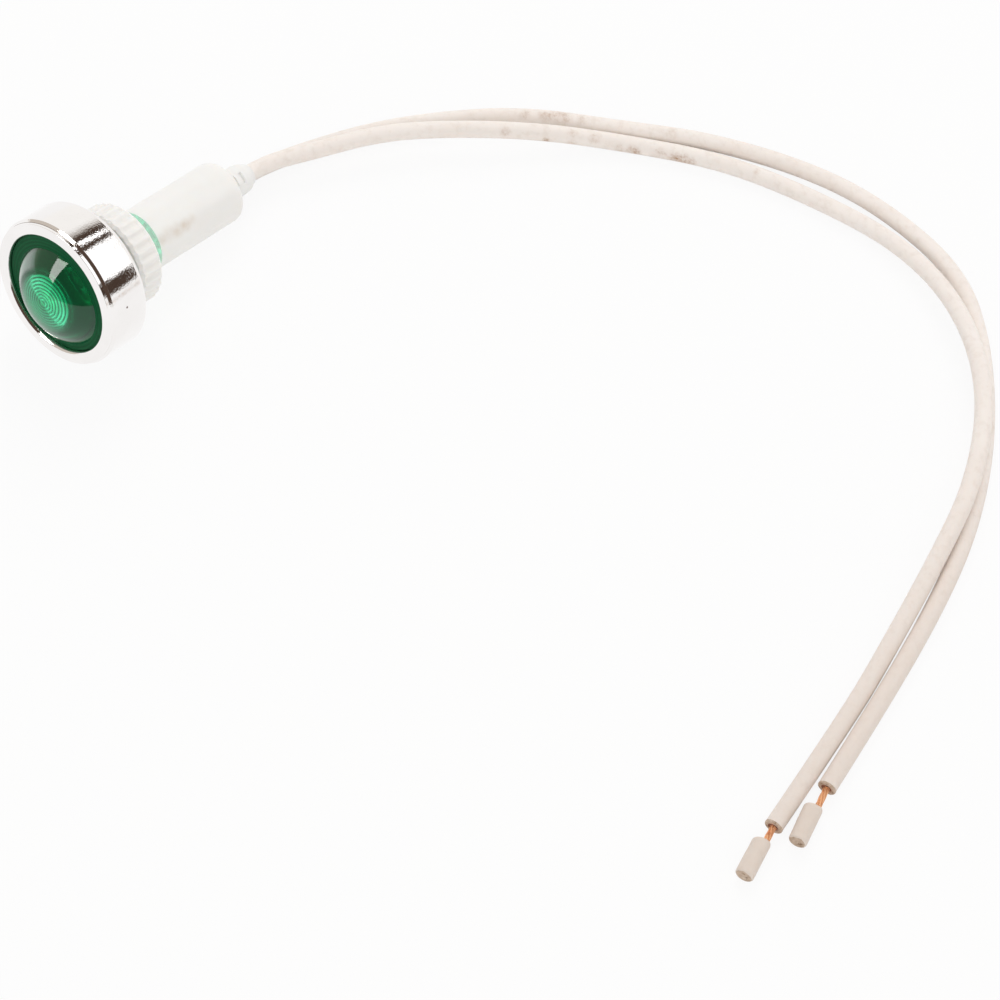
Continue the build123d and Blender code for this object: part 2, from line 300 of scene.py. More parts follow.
class Finish:
    """A finish: its material is built once and shared by the pieces."""

    name = "finish"

    def __init__(self) -> None:
        """Build the material."""
        self.material = bpy.data.materials.new(self.name)
        self.material.use_nodes = True
        self.paint = Paint(self.material.node_tree)
        coordinates = self.paint.node("ShaderNodeTexCoord")
        self.place = self.paint.out(coordinates, "Object")
        output = self.paint.node("ShaderNodeOutputMaterial")
        shader = self.shader()
        self.paint.tree.links.new(shader.outputs[0], output.inputs["Surface"])

    def shader(self) -> bpy.types.Node:
        """Shader of the finish."""
        raise NotImplementedError

    def principled(self, **values: Any) -> bpy.types.Node:
        """Principled shader.

        Args:
            **values: value of each socket by its name, spaces written as underscores.

        Returns:
            The shader.
        """
        named = {key.replace("_", " "): value for key, value in values.items()}
        if "Emission Color" not in named:
            named.setdefault("Emission Strength", 0.0)
        return self.paint.node("ShaderNodeBsdfPrincipled", {}, named)

    def bump(self, height: Sock, depth: float, strength: float = 1.0) -> Sock:
        """Normal that a height map gives.

        Args:
            height: the map, from 0 to 1.
            depth: height of its 1, in metres.
            strength: share of the effect.

        Returns:
            The normal.
        """
        node = self.paint.node("ShaderNodeBump", {},
                               {"Height": height, "Distance": depth, "Strength": strength})
        return self.paint.out(node, "Normal")

    def along(self) -> Sock:
        """Place along the head's axis, in metres from the bezel's rear face."""
        start = float(np.dot(HEAD.centre, HEAD.axis)) * MM
        return self.paint.dot(self.place, HEAD.axis) - start

    def off_axis(self) -> tuple[Sock, Sock]:
        """Place across the head's axis, in metres.

        Returns:
            How far to the side, and how far up.
        """
        _, run, rise = HEAD.axis
        up = (0.0, -rise, run)
        height = float(np.dot(HEAD.centre, up)) * MM
        return self.paint.dot(self.place, (1.0, 0.0, 0.0)), self.paint.dot(self.place, up) - height

    def dirt(self, specks: Sequence[Speck], core: float = 0.0) -> Sock:
        """Sum of soft round spots, each fading from its core to its reach.

        Args:
            specks: the dirty places.
            core: share of the reach that is fully dark.

        Returns:
            How dirty a place is.
        """
        return sum(
            ((1 - self.paint.far(self.place, tuple(MM * part for part in speck.place)).above(
                core * speck.reach * MM, speck.reach * MM)) * speck.amount
             for speck in specks), 0.0)


class Chrome(Finish):
    """Bright chrome over a lightly grained casting."""

    name = "bright_chrome"
    grain: float = 0.00024
    grain_depth: float = 1.1e-5
    nick: Point = (0.00838, -0.01073, 0.01155)
    # Place along the axis and turns round it of the painted dark reflection in the step.
    painted_reflection_places: tuple[float, float] = (-0.00534, -0.00525)
    painted_reflection_turns: tuple[float, float] = (78, 150)

    def shader(self) -> bpy.types.Node:
        """Metal with fine grain, slow waves, faint haze, a nick, and a painted brown line in the
        step that stands for the dark reflection in its crease.

        Returns:
            The shader.
        """
        paint = self.paint
        haze = paint.noise(self.place, 0.004, 3.0)
        colour = paint.mix(haze, srgb(249, 247, 246), srgb(239, 236, 234))
        grain = paint.noise(self.place, self.grain, 2.0, 0.6)
        waves = paint.noise(self.place, 0.0022, 1.0)
        nick = 1 - paint.far(self.place, self.nick).above(0.00006, 0.00018)
        along, (side, up) = self.along(), self.off_axis()
        turn = paint.maths("ARCTAN2", up, side) * (180 / math.pi)
        # Painted dark reflection: a brown band in the step's crease over part of the turn, also
        # rougher there.
        line = along.within(*self.painted_reflection_places, 0.00002) * turn.within(*self.painted_reflection_turns, 12)
        colour = paint.mix(0.75 * line, colour, srgb(110, 92, 80))
        return self.principled(
            Base_Color=paint.mix(nick, colour, srgb(110, 92, 84)), Metallic=1.0,
            Roughness=0.03 + 0.04 * haze + 0.3 * nick + 0.2 * line,
            Normal=self.bump(grain + 2.6 * waves - 0.4 * nick, self.grain_depth))


class GreenPlastic(Finish):
    """Clear emerald moulding, with the lens's own sizes in metres."""

    name = "green_moulding"
    dome_sag: float = 0.0006
    bowl_sag: float = 0.00025
    bowl_curve: float = 70.0
    ring_start: float = 0.00028
    ring_end: float = 0.00306
    ring_pitch: float = 0.000345
    ribs_round: float = 150.0
    dots_apart: float = 2 * math.pi / 16000.0

    def shader(self) -> bpy.types.Node:
        """Transmitting plastic with a painted glow: emission, brighter in the middle and in lines
        on the inner rings' crests, stands for light the rings gather, and a grey emission lights
        the barrel's rear; the middle's colour is painted lighter too, and the flange is matt.

        Returns:
            The shader.
        """
        paint = self.paint
        side, up = self.off_axis()
        low, under = up + self.dome_sag, up + self.bowl_sag
        radius = paint.maths("SQRT", side * side + low * low)
        bowl = paint.maths("SQRT", side * side + under * under)
        turn = paint.maths("ARCTAN2", up, side)
        along = self.along()
        dome = 1 - along.above(-0.00525, -0.0052)
        flow = paint.noise(self.place, 0.003, 3.0)
        # Painted glow: the emission is brighter in the middle, where the rings would gather light.
        centre = 1 - radius.above(0.0029, 0.0038)
        glow = paint.mix(centre, srgb(8, 44, 28), srgb(36, 76, 58))
        inner = (along - bowl * bowl * self.bowl_curve).above(-0.0075, -0.0073)
        phase = (bowl - self.ring_start) * (2 * math.pi / self.ring_pitch)
        # Painted highlight: bright lines on the inner rings' crests, added to the painted glow.
        painted_ring_glow = paint.maths("SINE", phase).above(0.2, 0.8)
        painted_ring_glow = painted_ring_glow * inner * bowl.within(self.ring_start, self.ring_end, 0.00004)
        glow = paint.mix(painted_ring_glow, glow, srgb(76, 158, 126))
        # Painted grey glow on the barrel's rear.
        glow = paint.mix(along.above(0.0045, 0.0049), glow, srgb(160, 160, 156))
        about = paint.maths("ARCTAN2", 0.0 - low, 0.0 - side)
        edge = about.within(-0.95, 1.6, 0.2) * radius.above(0.0038, 0.0044) * dome
        deep = paint.mix(flow, srgb(0, 96, 58), srgb(4, 120, 76))
        # The middle's base colour is painted lighter, and the emission is the painted glow.
        clear = self.principled(
            Base_Color=paint.mix(centre, deep, srgb(62, 170, 130)), Roughness=0.03 + 0.04 * flow,
            IOR=1.5, Transmission_Weight=1.0, Emission_Color=glow, Emission_Strength=1.0,
            Coat_Weight=edge, Coat_IOR=2.3, Coat_Roughness=0.03,
            Normal=self.bump(flow, 5e-6, 0.6))
        ribs = paint.maths("SINE", turn * self.ribs_round) * 0.5 + 0.5
        dots = paint.maths("SINE", radius * (2 * math.pi / self.dots_apart)) * 0.5 + 0.5
        matt = self.principled(
            Base_Color=paint.mix(ribs * dots, srgb(0, 72, 38), srgb(4, 98, 56)),
            Roughness=0.4 + 0.1 * flow, IOR=1.45, Specular_IOR_Level=0.1,
            Normal=self.bump(ribs * dots, 2e-5, 0.6))
        flange = along.within(-0.00519, -0.0045, 0.00002) * radius.above(0.0057, 0.0058)
        return paint.node("ShaderNodeMixShader", {}, {
            0: flange * (1 - dome), 1: paint.out(clear), 2: paint.out(matt)})


class Nylon(Finish):
    """Glossy natural nylon, slightly see-through, with a brown smudge on the tail body."""

    name = "natural_nylon"
    smudge: tuple[Speck, ...] = (
        Speck((3.01, 3.64, 7.69), 1.1, 0.75), Speck((3.01, 2.39, 7.99), 1.3, 0.6),
        Speck((2.91, 1.10, 8.44), 1.4, 0.35), Speck((3.01, -0.10, 8.59), 1.0, 0.5),
        Speck((2.87, 4.74, 7.61), 0.9, 0.3),
    )

    def shader(self) -> bpy.types.Node:
        """Plastic with soft scattering, flow marks and the smudge.

        Returns:
            The shader.
        """
        paint = self.paint
        cloud = paint.noise(self.place, 0.005, 3.0)
        smear = paint.noise(self.place, 0.0008, 4.0, 0.65)
        stain = self.dirt(self.smudge) * (0.4 + 0.35 * smear.above(0.3, 0.7))
        base = paint.mix(cloud, srgb(244, 243, 240), srgb(239, 236, 232))
        return self.principled(
            Base_Color=paint.mix(stain, base, srgb(204, 184, 160)),
            Roughness=0.26 + 0.1 * cloud + 0.15 * stain, IOR=1.53,
            Subsurface_Weight=0.35, Subsurface_Radius=(1.0, 0.85, 0.7), Subsurface_Scale=0.0011,
            Normal=self.bump(cloud * 0.7 + smear * 0.3, 1.2e-5))


class Jacket(Finish):
    """Satin off-white insulation with brown specks of dirt."""

    name = "lead_insulation"
    pale: Colour = srgb(246, 240, 235)
    deep: Colour = srgb(240, 230, 222)
    specks: tuple[Speck, ...] = (
        Speck((18.1, 44.3, 1.9), 0.9, 0.4), Speck((20.0, 45.6, 2.0), 1.1, 0.45),
        Speck((21.0, 46.4, 2.0), 1.2, 0.6), Speck((22.0, 47.0, 2.0), 1.2, 0.45),
        Speck((23.7, 48.0, 2.0), 1.0, 0.4), Speck((32.8, 53.2, 2.0), 1.0, 0.3),
        Speck((18.9, 39.8, 3.2), 0.9, 0.4), Speck((22.6, 42.7, 2.1), 0.6, 1.0),
        Speck((24.5, 44.9, 2.8), 0.9, 0.3), Speck((25.0, 44.6, 1.7), 0.8, 0.4),
        Speck((26.8, 46.5, 2.3), 1.1, 0.35), Speck((29.5, 47.8, 1.3), 1.0, 0.4),
        Speck((30.7, 48.5, 1.2), 1.0, 0.6), Speck((31.2, 48.8, 1.0), 0.8, 0.6),
        Speck((33.6, 50.1, 1.2), 1.2, 0.5), Speck((35.2, 50.9, 1.0), 1.1, 0.9),
        Speck((36.1, 51.4, 1.0), 1.1, 1.0), Speck((37.0, 51.8, 1.0), 0.8, 0.7),
        Speck((43.9, 55.0, 1.9), 0.6, 0.4), Speck((82.0, 47.0, 2.0), 1.2, 0.3),
        Speck((85.0, 42.9, 2.0), 1.6, 0.3),
    )

    def shader(self) -> bpy.types.Node:
        """Soft plastic, mottled by handling, with specks where it was rubbed.

        Returns:
            The shader.
        """
        paint = self.paint
        handled = paint.noise(self.place, 0.006, 3.0)
        mottle = paint.noise(self.place, 0.0009, 4.0, 0.6)
        dots = paint.noise(self.place, 0.00035, 3.0, 0.7)
        dirty = self.dirt(self.specks, 0.15)
        stain = dirty * (0.35 + 0.65 * dots.above(0.42, 0.62)) * mottle.above(0.25, 0.55)
        film = 0.4 * dirty * mottle
        far = paint.dot(self.place, (1.0, 0.0, 0.0)).above(0.084, 0.1)
        base = paint.mix(handled, self.pale, self.deep)
        base = paint.mix(0.7 * far, base, srgb(222, 208, 197))
        warm = paint.mix(mottle.above(0.45, 0.75) * 0.25 + film, base, srgb(212, 196, 182))
        return self.principled(
            Base_Color=paint.mix(0.8 * stain, warm, srgb(168, 122, 82)),
            Roughness=0.5 + 0.2 * mottle, IOR=1.45,
            Subsurface_Weight=0.15, Subsurface_Radius=(1.0, 0.8, 0.65), Subsurface_Scale=0.0006,
            Normal=self.bump(mottle * 0.6 + dots * 0.4, 2.5e-5))


class SlugPaintedShade(Jacket):
    """Insulation of the slugs: the jacket's colours painted darker and greyer, as painted shade.
    """

    name = "slug_insulation_painted_shade"
    pale = srgb(228, 218, 208)
    deep = srgb(216, 204, 192)


class CutJacket(Finish):
    """Insulation at a cut: rubbed brown over the paler jacket."""

    name = "cut_insulation"
    pale: Colour = srgb(208, 188, 170)
    dark: Colour = srgb(176, 152, 130)
    pits: Colour = srgb(120, 92, 68)

    def shader(self) -> bpy.types.Node:
        """Matt, torn face with dark dirt in its hollows.

        Returns:
            The shader.
        """
        paint = self.paint
        torn = paint.noise(self.place, 0.0005, 4.0, 0.7)
        base = paint.mix(torn.above(0.3, 0.7), self.pale, self.dark)
        return self.principled(
            Base_Color=paint.mix(torn.above(0.55, 0.68) * 0.8, base, self.pits),
            Roughness=0.7 + 0.2 * torn, Normal=self.bump(torn, 6e-5))


class HollowPaintedShade(CutJacket):
    """Painted shade: a dark brown finish for the shaded hollow where the strands leave the
    insulation.
    """

    name = "hollow_painted_shade"
    pale = srgb(142, 100, 78)
    dark = srgb(120, 72, 48)
    pits = srgb(90, 52, 36)


class Copper(Finish):
    """Bare copper strands, bright with a little tarnish."""

    name = "bare_copper"

    def shader(self) -> bpy.types.Node:
        """Metal with fine drawing marks and darker tarnish.

        Returns:
            The shader.
        """
        paint = self.paint
        tarnish = paint.noise(self.place, 0.0007, 3.0, 0.6)
        return self.principled(
            Base_Color=paint.mix(tarnish.above(0.45, 0.75), srgb(250, 190, 142),
                                 srgb(222, 146, 102)),
            Metallic=0.55, Roughness=0.35 + 0.2 * tarnish, Normal=self.bump(tarnish, 6e-6))


class Glass(Finish):
    """Clear lamp glass."""

    name = "lamp_glass"

    def shader(self) -> bpy.types.Node:
        """Glass with faint waves from drawing.

        Returns:
            The shader.
        """
        wave = self.paint.noise(self.place, 0.0015, 1.0)
        return self.principled(
            Base_Color=self.paint.mix(wave, srgb(246, 250, 250), srgb(232, 240, 240)),
            Roughness=0.01 + 0.03 * wave, IOR=1.5, Transmission_Weight=1.0,
            Normal=self.bump(wave, 1.5e-5))


class TinnedWire(Finish):
    """Tinned copper wire."""

    name = "tinned_wire"

    def shader(self) -> bpy.types.Node:
        """Dull silvery metal with blotches.

        Returns:
            The shader.
        """
        blotch = self.paint.noise(self.place, 0.0008, 3.0)
        return self.principled(
            Base_Color=self.paint.mix(blotch, srgb(208, 206, 202), srgb(168, 166, 164)),
            Metallic=1.0, Roughness=0.3 + 0.25 * blotch, Normal=self.bump(blotch, 8e-6))


class ResistorCoat(Finish):
    """Lacquered resistor with four painted rings."""

    name = "resistor_coat"
    start: float = 8.4
    rings: tuple[tuple[float, Colour], ...] = (
        (0.55, srgb(180, 52, 36)), (1.35, srgb(200, 60, 40)), (2.05, srgb(214, 160, 40)),
        (3.45, srgb(176, 142, 70)))

    def shader(self) -> bpy.types.Node:
        """Sand-coloured lacquer, each ring a narrow band along the axis.

        Returns:
            The shader.
        """
        paint = self.paint
        along = self.along()
        uneven = paint.noise(self.place, 0.0006, 3.0)
        colour = paint.mix(uneven, srgb(222, 204, 166), srgb(206, 184, 144))
        for place, ring in self.rings:
            middle = (self.start + place) * MM
            colour = paint.mix(along.within(middle - 0.00018, middle + 0.00018, 0.00003), colour,
                               ring)
        return self.principled(Base_Color=colour, Roughness=0.3 + 0.2 * uneven,
                               Normal=self.bump(uneven, 1.5e-5))


class Brass(Finish):
    """Pressed brass splice."""

    name = "pressed_brass"

    def shader(self) -> bpy.types.Node:
        """Yellow metal, scuffed by the crimping tool.

        Returns:
            The shader.
        """
        scuff = self.paint.noise(self.place, 0.0004, 4.0, 0.65)
        return self.principled(
            Base_Color=self.paint.mix(scuff, srgb(214, 180, 112), srgb(176, 140, 82)),
            Metallic=1.0, Roughness=0.25 + 0.3 * scuff, Normal=self.bump(scuff, 1e-5))


class Sleeving(Finish):
    """Braided insulating sleeve."""

    name = "braided_sleeve"

    def shader(self) -> bpy.types.Node:
        """Fine braid: two families of threads crossing round the axis.

        Returns:
            The shader.
        """
        paint = self.paint
        side, up = self.off_axis()
        turn = paint.maths("ARCTAN2", up, side)
        along = self.along() * 9000.0
        right = paint.maths("SINE", turn * 24.0 + along)
        left = paint.maths("SINE", turn * 24.0 - along)
        braid = paint.maths("MAXIMUM", right, left) * 0.5 + 0.5
        return self.principled(
            Base_Color=paint.mix(braid, srgb(206, 200, 186), srgb(242, 240, 230)),
            Roughness=0.75 - 0.15 * braid, Normal=self.bump(braid, 4e-5))


def corner_arcs(corners: Sequence[tuple[float, float, float]], steps: int = 6) -> Array:
    """Closed outline through corners, each rounded by its own arc.

    Every corner is replaced by the arc that touches both of its sides: its ends lie
    radius / tan(half the corner's angle) from the corner.

    Args:
        corners: radius from the axis, place along it, and radius of the rounding.
        steps: points on each arc, less one.

    Returns:
        Array of points, one row for each, of radius and place.
    """
    line: list[Array] = []
    count = len(corners)
    for index, (r, s, rounding) in enumerate(corners):
        at = np.array([r, s])
        back = np.array(corners[index - 1][:2]) - at
        ahead = np.array(corners[(index + 1) % count][:2]) - at
        if rounding <= 0:
            line.append(at[None])
            continue
        back, ahead = back / np.linalg.norm(back), ahead / np.linalg.norm(ahead)
        half = math.acos(float(np.clip(back @ ahead, -1, 1))) / 2
        bisector = (back + ahead) / np.linalg.norm(back + ahead)
        middle = at + bisector * rounding / math.sin(half)
        reach = rounding / math.tan(half)
        first, last = at + back * reach - middle, at + ahead * reach - middle
        share = np.linspace(0, 1, steps + 1)[:, None]
        swing = math.pi - 2 * half
        line.append(middle + (np.sin((1 - share) * swing) * first
                              + np.sin(share * swing) * last) / math.sin(swing))
    return np.concatenate(line)


@dataclass
class Skin:
    """Surface on a grid of points, in millimetres in the row frame: rows by columns."""

    points: Array
    rows_close: bool = False
    columns_close: bool = True

    def faces(self) -> Array:
        """Cells of the grid, the last row or column joined to the first where it closes.

        Returns:
            Four point numbers for each cell, one row for each.
        """
        rows, columns = self.points.shape[:2]
        down = np.arange(rows if self.rows_close else rows - 1)[:, None]
        over = np.arange(columns if self.columns_close else columns - 1)[None, :]
        below, beside = (down + 1) % rows, (over + 1) % columns
        corners = [down * columns + over, down * columns + beside,
                   below * columns + beside, below * columns + over]
        return np.stack(corners, axis=-1).reshape(-1, 4)


def turned(outline: Array, columns: int = 160,
           shape: Callable[[Array, Array, Array], Array] | None = None,
           closed: bool = True) -> Skin:
    """Surface of an outline turned round the head's axis.

    Args:
        outline: radius and place of each point.
        columns: points round the axis.
        shape: gives each point's radius from its radius, place and angle.
        closed: whether the outline comes back to its start.

    Returns:
        The skin: x = radius cos(angle), y = radius sin(angle), z = place.
    """
    angle = np.linspace(0, 2 * math.pi, columns, endpoint=False)[None, :]
    radius = np.repeat(outline[:, :1], columns, axis=1)
    place = np.repeat(outline[:, 1:], columns, axis=1)
    if shape is not None:
        radius = shape(radius, place, angle)
    grid = np.stack([radius * np.cos(angle), radius * np.sin(angle), place], axis=-1)
    return Skin(HEAD.put(grid), rows_close=closed)


def piped(line: Array, radius: Array | float, columns: int = 12,
          shape: Callable[[Array, Array], Array] | None = None) -> Skin:
    """Tube round a line, with closed ends.

    The frame across the line is carried by projecting one side direction onto the plane
    across each point's tangent.

    Args:
        line: points of the centre line.
        radius: one radius, or one for each point.
        columns: points round the tube.
        shape: gives a factor on the radius from the share along the line and the angle.

    Returns:
        The skin, its first and last rows drawn together into a point.
    """
    tangent = np.gradient(line, axis=0)
    tangent /= np.linalg.norm(tangent, axis=1, keepdims=True)
    side = np.cross(tangent, np.array([0.0, 0.0, 1.0]))
    side /= np.linalg.norm(side, axis=1, keepdims=True)
    over = np.cross(side, tangent)
    angle = np.linspace(0, 2 * math.pi, columns, endpoint=False)[None, :]
    size = np.broadcast_to(np.asarray(radius, float), (len(line),))[:, None]
    share = np.linspace(0, 1, len(line))[:, None]
    size = size * (shape(share, angle) if shape is not None else np.ones((1, columns)))
    ring = size[..., None] * (np.cos(angle)[..., None] * side[:, None]
                              + np.sin(angle)[..., None] * over[:, None])
    grid = line[:, None] + ring
    first = np.repeat(line[:1][None], columns, axis=1)
    last = np.repeat(line[-1:][None], columns, axis=1)
    return Skin(np.concatenate([first, grid, last]))


def solid(name: str, skins: Sequence[Skin], finish: Finish, rider: Rider,
          crease: float = 38.0, replaces: Sequence[str] = ()) -> bpy.types.Object:
    """Make one piece of closed skins, smooth but for its creases.

    Args:
        name: name of the piece.
        skins: closed surfaces.
        finish: its finish.
        rider: body it moves with.
        crease: angle in degrees past which an edge stays sharp.
        replaces: CAD nodes it stands for.

    Returns:
        The piece.
    """
    points = np.concatenate([skin.points.reshape(-1, 3) for skin in skins]) * MM
    starts = np.cumsum([0] + [skin.points.shape[0] * skin.points.shape[1] for skin in skins])
    faces = np.concatenate([skin.faces() + start for skin, start in zip(skins, starts)])
    mesh = bpy.data.meshes.new(name)
    mesh.from_pydata(points.tolist(), [], faces.tolist())
    work = bmesh.new()
    work.from_mesh(mesh)
    bmesh.ops.remove_doubles(work, verts=work.verts, dist=2e-7)
    bmesh.ops.dissolve_degenerate(work, edges=work.edges, dist=1e-8)
    bmesh.ops.recalc_face_normals(work, faces=work.faces)
    work.to_mesh(mesh)
    work.free()
    mesh.shade_smooth()
    mesh.set_sharp_from_angle(angle=math.radians(crease))
    piece = bpy.data.objects.new(name, mesh)
    bpy.context.scene.collection.objects.link(piece)
    dress(piece, finish)
    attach(piece, rider.value)
    if replaces:
        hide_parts(*replaces)
    log.info("%s: %d faces, rides on %s", name, len(mesh.polygons), rider.value)
    return piece


def dress(piece: bpy.types.Object, finish: Finish) -> None:
    """Give a piece its finish.

    Args:
        piece: the piece.
        finish: its finish.
    """
    piece.data.materials.clear()
    piece.data.materials.append(finish.material)


@dataclass
class Bezel:
    """Deep chromed cup with a rounded front ring."""

    radius: float = 8.75
    depth: float = 5.0
    rear_round: float = 0.7
    floor: float = 1.0
    step: float = 0.27
    rise: float = 0.55
    bore: float = 7.1
    ledge_radius: float = 6.3
    ledge_depth: float = 4.25
    hole: float = 3.68

    def outline(self) -> Array:
        """Outline of the cup: rounded rear edge, crisp step, flat ring, ledge and hole.

        Returns:
            Array of points, one row for each, of radius and place.
        """
        front = -self.depth - self.step
        outer = self.radius - self.step
        ring = corner_arcs([
            (outer, front, 0.0), (outer, front - self.rise + 0.16, 0.03),
            (self.bore, front - self.rise, 0.4), (self.bore, front, 0.0)], 16)
        corners = corner_arcs([
            (self.bore, front, 0.0), (self.bore, -self.ledge_depth, 0.08),
            (self.ledge_radius, -self.ledge_depth, 0.1), (self.ledge_radius, -self.floor, 0.25),
            (self.hole, -self.floor, 0.1), (self.hole, 0.0, 0.1),
            (self.radius, 0.0, self.rear_round), (self.radius, -self.depth, 0.07),
            (self.radius - self.step, front, 0.0)], 8)
        return np.concatenate([corners, ring[1:-1]])

    def make(self, chrome: Finish) -> None:
        """Turn the cup and dress it."""
        solid("bezel_cup", [turned(self.outline(), 240)], chrome, Rider.LIGHT,
              30.0, ["bezel"])


@dataclass
class Lens:
    """Domed lens with light-bending rings, skirt and threaded barrel, one moulding."""

    dome_radius: float = 5.9
    apex: float = -7.95
    flange_front: float = -5.15
    flange_radius: float = 7.07
    ledge: float = -4.25
    skirt_radius: float = 6.27
    skirt_bore: float = 5.47
    bowl: float = -6.95
    bowl_ball: float = 6.62
    skirt_front: float = -4.1
    floor_front: float = -1.9
    floor_rear: float = -1.0
    barrel_radius: float = 3.65
    barrel_bore: float = 2.8
    barrel_end: float = 7.4
    pitch: float = 0.7
    thread_depth: float = 0.26
    rings: int = 8
    ring_pitch: float = 0.345
    ring_height: float = 0.17
    ring_start: float = 0.3
    sag: float = 0.6
    bowl_sag: float = 0.25

    def dome(self) -> Array:
        """Outer dome from its middle to the flange, on the ball through apex and base.

        Returns:
            Array of points, one row for each, of radius and place.
        """
        rise = self.flange_front - self.apex
        ball = (self.dome_radius**2 + rise**2) / (2 * rise)
        angle = np.linspace(0, math.asin(self.dome_radius / ball), 33)
        return np.stack([ball * np.sin(angle), self.apex + ball * (1 - np.cos(angle))], axis=1)

    def inside(self) -> Array:
        """Dome's inner face from the skirt to its middle: a shallow bowl with saw-toothed rings.

        Each ring rises at once on its inner side and falls to the bowl again over four fifths
        of the pitch. Round the bowl a quarter of an ellipse comes down to the skirt.

        Returns:
            Array of points, one row for each, of radius and place.
        """
        ring = np.repeat(self.ring_start + self.ring_pitch * np.arange(self.rings), 4)
        offset = np.tile([0.0, 0.02, 0.8 * self.ring_pitch, 0.9 * self.ring_pitch], self.rings)
        height = np.tile([0.0, self.ring_height, 0.0, 0.0], self.rings)
        edge = self.ring_start + self.ring_pitch * self.rings
        turn = np.linspace(0, math.pi / 2, 12)
        radius = np.concatenate([[0.0], ring + offset,
                                 edge + (self.skirt_bore - edge) * np.sin(turn)])
        bowl = self.bowl_ball - np.sqrt(self.bowl_ball**2 - np.minimum(radius, edge)**2)
        fall = (self.skirt_front - self.bowl - bowl[-1]) * (1 - np.cos(turn))
        place = self.bowl + bowl + np.concatenate([[0.0], height, fall])
        return np.stack([radius, place], axis=1)[::-1]

    def threaded(self, radius: Array, place: Array, angle: Array) -> Array:
        """Radius with the thread cut in: rounded V whose phase turns once for each pitch.

        Args:
            radius: each point's radius.
            place: its place along the axis.
            angle: its angle round the axis.

        Returns:
            The new radii.
        """
        on_barrel = (np.abs(radius - self.barrel_radius) < 1e-6) & (place > self.floor_rear)
        turn = place / self.pitch - angle / (2 * math.pi)
        cut = np.abs(2 * (turn - np.floor(turn)) - 1) ** 1.3
        ends = np.clip((place - 0.1) / 0.35, 0, 1) * np.clip((7.25 - place) / 0.35, 0, 1)
        return np.where(on_barrel, radius - self.thread_depth * cut * ends, radius)

    def outline(self) -> Array:
        """Whole outline, from the dome's middle round to the middle of its inner face.

        Returns:
            Array of points, one row for each, of radius and place.
        """
        barrel = np.stack([np.full(112, self.barrel_radius),
                           np.linspace(self.floor_rear + 0.01, self.barrel_end - 0.02, 112)],
                          axis=1)
        rim = corner_arcs([
            (self.dome_radius, self.flange_front, 0.0),
            (self.flange_radius, self.flange_front, 0.08), (self.flange_radius, self.ledge, 0.05),
            (self.skirt_radius, self.ledge, 0.05), (self.skirt_radius, self.floor_rear, 0.1),
            (self.barrel_radius, self.floor_rear, 0.0)], 4)
        back = corner_arcs([
            (self.barrel_radius, self.barrel_end, 0.0), (self.barrel_bore, self.barrel_end, 0.05),
            (self.barrel_bore, self.floor_front, 0.15), (self.skirt_bore, self.floor_front, 0.2),
            (self.skirt_bore, self.inside()[0, 1], 0.0)], 4)
        return np.concatenate([self.dome(), rim[1:], barrel, back, self.inside()[1:]])

    def drops(self, outline: Array) -> Array:
        """How far each point of the outline hangs below the axis.

        The dome hangs by its sag, and the inner face by its own, faded out at the skirt.

        Args:
            outline: radius and place of each point.

        Returns:
            A drop for each point.
        """
        drop = np.zeros(len(outline))
        drop[:len(self.dome())] = self.sag
        inner = len(outline) - len(self.inside()) + 1
        drop[inner:] = self.bowl_sag * np.clip(self.skirt_bore - outline[inner:, 0], 0, 1)
        return drop

    def make(self, green: Finish) -> None:
        """Turn the moulding, let the dome hang and dress it.

        Args:
            green: finish of the plastic.
        """
        outline = self.outline()
        skin = turned(outline, 192, self.threaded, closed=False)
        down = HEAD.put(np.array([0.0, 1.0, 0.0])) - HEAD.put(np.zeros(3))
        skin.points += self.drops(outline)[:, None, None] * down
        solid("lens_moulding", [skin], green, Rider.LIGHT, 24.0, ["lens_and_barrel"])


